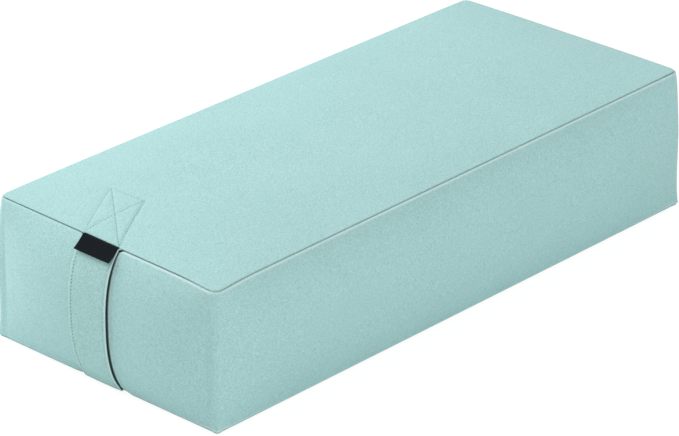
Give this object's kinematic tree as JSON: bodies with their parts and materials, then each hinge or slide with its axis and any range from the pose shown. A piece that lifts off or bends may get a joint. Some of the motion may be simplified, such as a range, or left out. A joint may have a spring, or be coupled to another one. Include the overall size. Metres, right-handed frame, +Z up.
{
  "type": "rectangular yoga bolster",
  "caption": "Rectangular fabric-covered yoga bolster with a boxed, zipped cover, a sewn carry handle at one end and a foam and batting filling.",
  "frame": {"origin": "middle of the bolster's footprint, on the surface it rests on", "axes": "+X along the bolster away from the labelled handle, +Y across it towards the zip, +Z up"},
  "size_m": [0.7517, 0.3348, 0.169],
  "materials": {
    "cover_cloth": "brushed pale aqua microfibre",
    "handle_cloth": "the cover cloth, folded and stitched flat",
    "thread": "matching polyester thread",
    "label": "black woven satin tape, no lettering",
    "zip_tape": "woven polyester tape",
    "zip_coil": "nylon coil",
    "zip_metal": "satin nickel",
    "liner": "plain cotton",
    "batting": "polyester wadding",
    "foam": "open-cell foam"
  },
  "bodies": {
    "root": {"top_panel": "cover_cloth", "bottom_panel": "cover_cloth", "boxing_strip": "cover_cloth", "zip_placket_upper": "cover_cloth", "zip_placket_lower": "cover_cloth", "zip_tape_upper": "zip_tape", "zip_tape_lower": "zip_tape", "zip_coil_upper": "zip_coil", "zip_coil_lower": "zip_coil", "zip_top_stop_upper": "zip_metal", "zip_top_stop_lower": "zip_metal", "zip_bottom_stop": "zip_metal", "near_handle_face_ply": "handle_cloth", "near_handle_backing_ply": "handle_cloth", "near_handle_edge_stitch_left": "thread", "near_handle_edge_stitch_right": "thread", "near_handle_box_stitch": "thread", "woven_label": "label", "liner_sleeve": "liner", "liner_closing_panel": "liner", "batting_wrap": "batting", "batting_near_end": "batting", "batting_far_end": "batting", "foam_core": "foam"},
    "zip_slider": {"zip_slider": "zip_metal"},
    "zip_puller": {"zip_puller": "zip_metal"}
  },
  "joints": [
    {"name": "zip_slider_travel", "type": "slide", "parent": "root", "child": "zip_slider", "axis": [-1, 0, 0], "range_m": [0, 0.545]},
    {"name": "zip_puller_swing", "type": "hinge", "parent": "zip_slider", "child": "zip_puller", "pos_m": [0.2755, 0.1641, 0.08], "axis": [0, 0, -1], "range_deg": [0, 170]}
  ]
}
